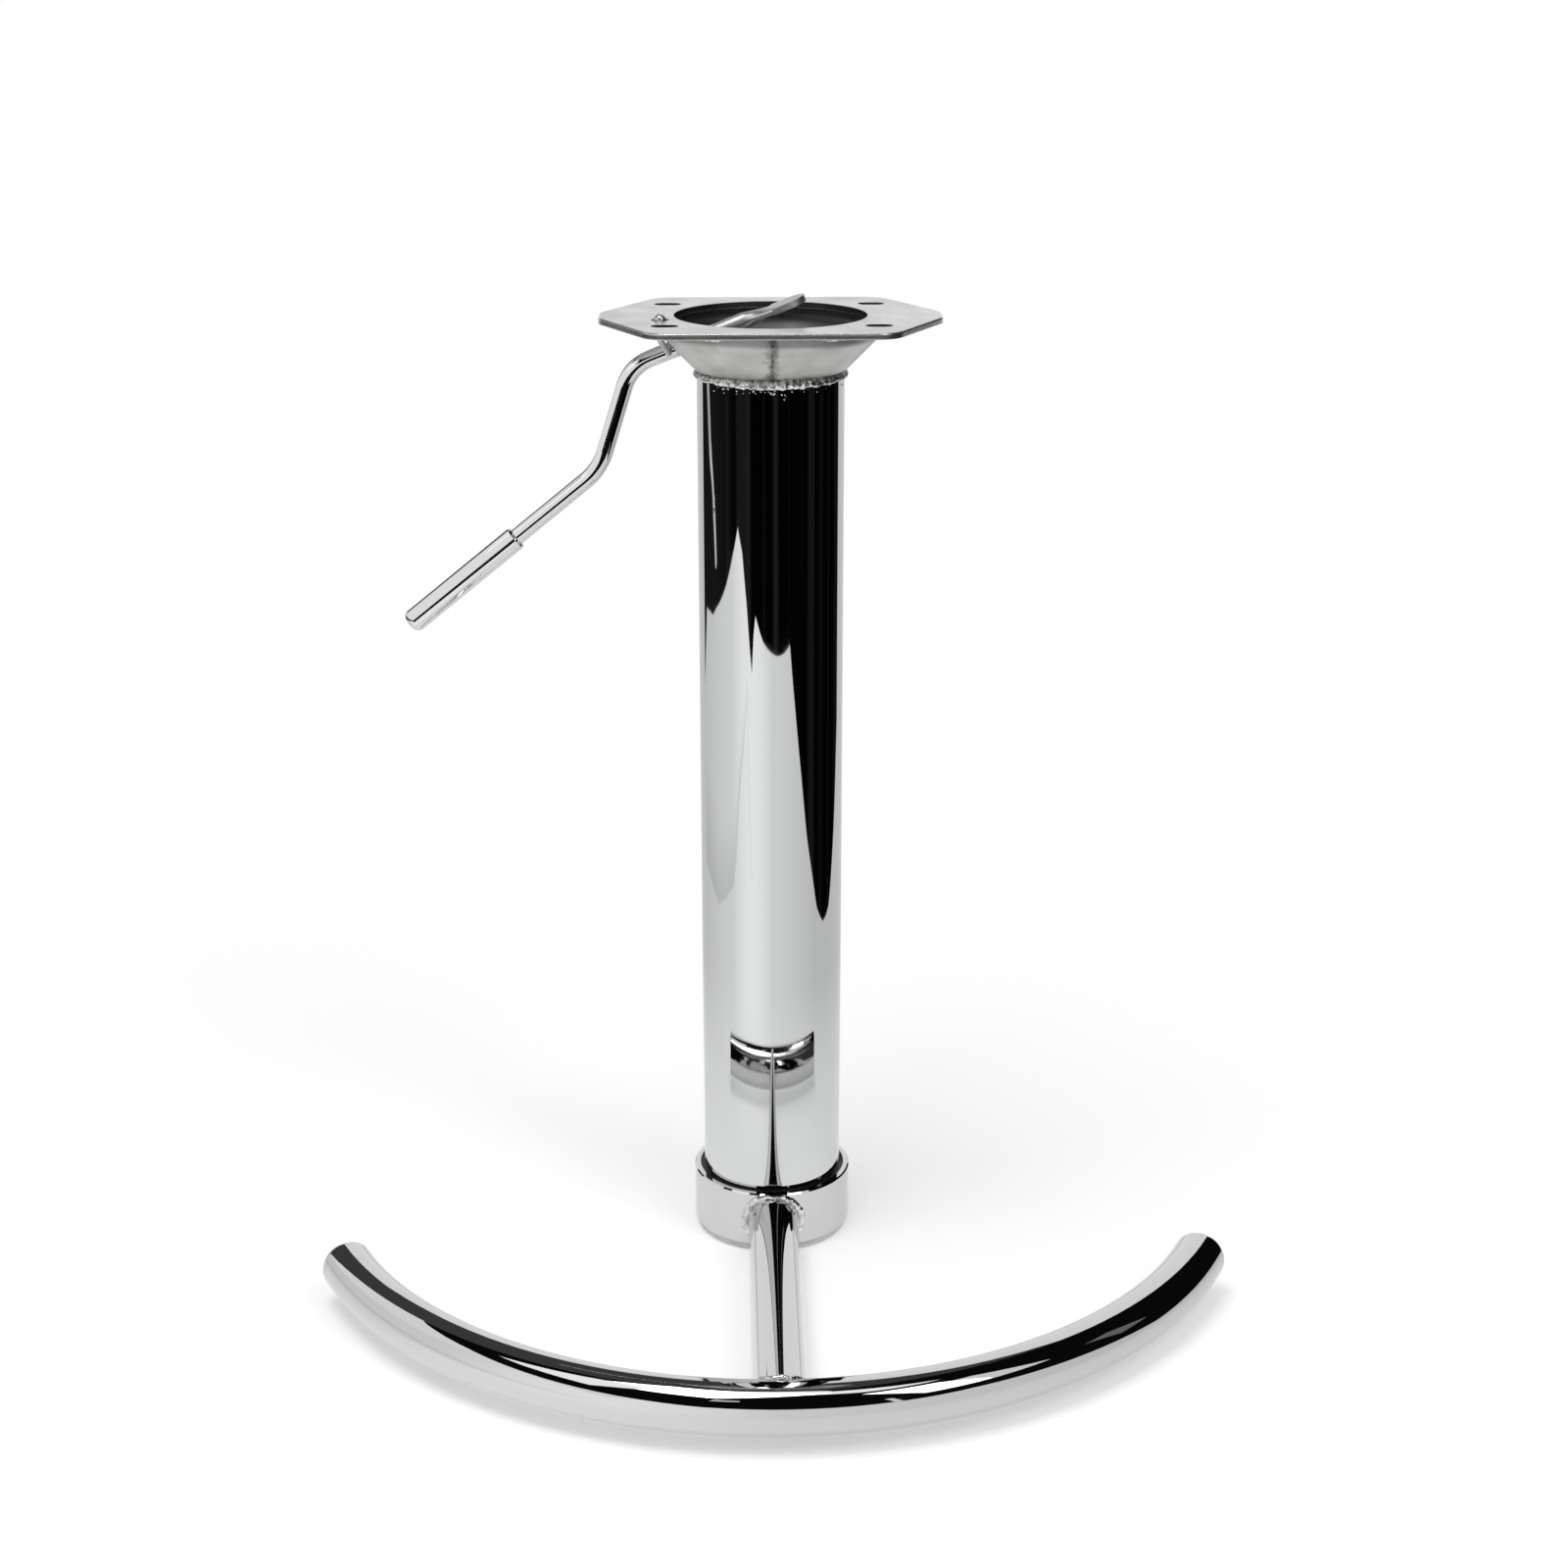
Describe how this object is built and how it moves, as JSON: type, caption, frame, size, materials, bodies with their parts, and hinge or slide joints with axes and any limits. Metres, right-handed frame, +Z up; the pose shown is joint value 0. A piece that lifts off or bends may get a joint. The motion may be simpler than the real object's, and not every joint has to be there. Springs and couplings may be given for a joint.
{
  "type": "bar stool base",
  "caption": "Upper unit of a gas-lift bar stool: seat plate on a welded cup, chromed sleeve tube, half-ring footrest on a collar, and a hinged release lever.",
  "frame": {"origin": "on the sleeve tube's axis, level with the underside of the guide bush, where the column enters", "axes": "+Z up along the tube to the seat plate, -Y forwards to the footrest, -X to the side where the lever's handle hangs"},
  "size_m": [0.38, 0.2489, 0.4117],
  "materials": {
    "bright_chrome": "mirror-bright decorative chrome",
    "satin_zinc": "satin bright zinc plating",
    "weld_steel": "rough plated weld bead",
    "plated_weld": "ground weld, chromed over",
    "plain_steel": "machined, lightly oiled",
    "pale_nylon": "natural moulded nylon",
    "black_nylon": "black moulded nylon",
    "black_screw": "black oxide"
  },
  "bodies": {
    "frame": {"seat_plate": "satin_zinc", "cup_cone": "satin_zinc", "cup_seam_weld": "weld_steel", "cup_plate_welds": "weld_steel", "tube_top_weld": "weld_steel", "sleeve_tube": "bright_chrome", "guide_bush": "pale_nylon", "taper_socket": "plain_steel", "socket_top_disc": "plain_steel", "socket_bottom_disc": "plain_steel", "socket_disc_welds": "weld_steel", "footrest_collar": "bright_chrome", "collar_ring": "black_nylon", "collar_screws": "black_screw", "footrest_stem": "bright_chrome", "stem_collar_weld": "plated_weld", "stem_bar_weld": "plated_weld", "footrest_bar": "bright_chrome", "footrest_end_caps": "bright_chrome", "lever_pivot_wire": "plain_steel"},
    "lever": {"lever_rod": "bright_chrome", "lever_grip": "bright_chrome"}
  },
  "joints": [
    {"name": "lever_pivot", "type": "hinge", "parent": "frame", "child": "lever", "pos_m": [-0.041, 0, 0.389], "axis": [0, 1, 0], "range_deg": [0, 16]}
  ]
}
